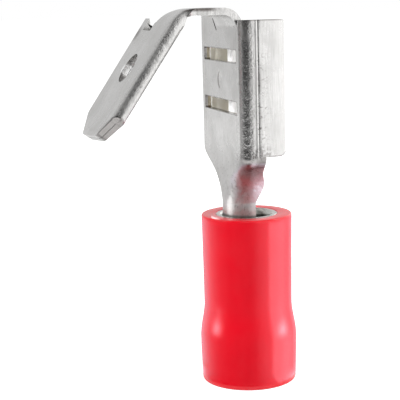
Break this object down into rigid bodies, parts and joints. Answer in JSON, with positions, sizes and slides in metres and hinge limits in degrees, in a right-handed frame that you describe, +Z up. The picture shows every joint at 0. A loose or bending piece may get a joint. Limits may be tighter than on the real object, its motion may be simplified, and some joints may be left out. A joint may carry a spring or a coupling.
{
  "type": "piggyback spade terminal",
  "caption": "Insulated female spade terminal with a folded male tab on a bridge at its mouth, standing on its moulded sleeve.",
  "frame": {"origin": "centre of the sleeve's wire end, on the crimp barrel's axis", "axes": "+Z up the barrel axis to the receptacle's mouth; X across the blade; -Y is the side the male tab is on"},
  "size_m": [0.0078, 0.0125, 0.0225],
  "materials": {
    "tinned_brass": "bright tin plate over brass",
    "tinned_ferrule": "tin plate",
    "red_pvc": "smooth semi-gloss"
  },
  "bodies": {
    "root": {"terminal_body": "tinned_brass", "support_ferrule": "tinned_ferrule", "insulating_sleeve": "red_pvc"}
  },
  "joints": []
}
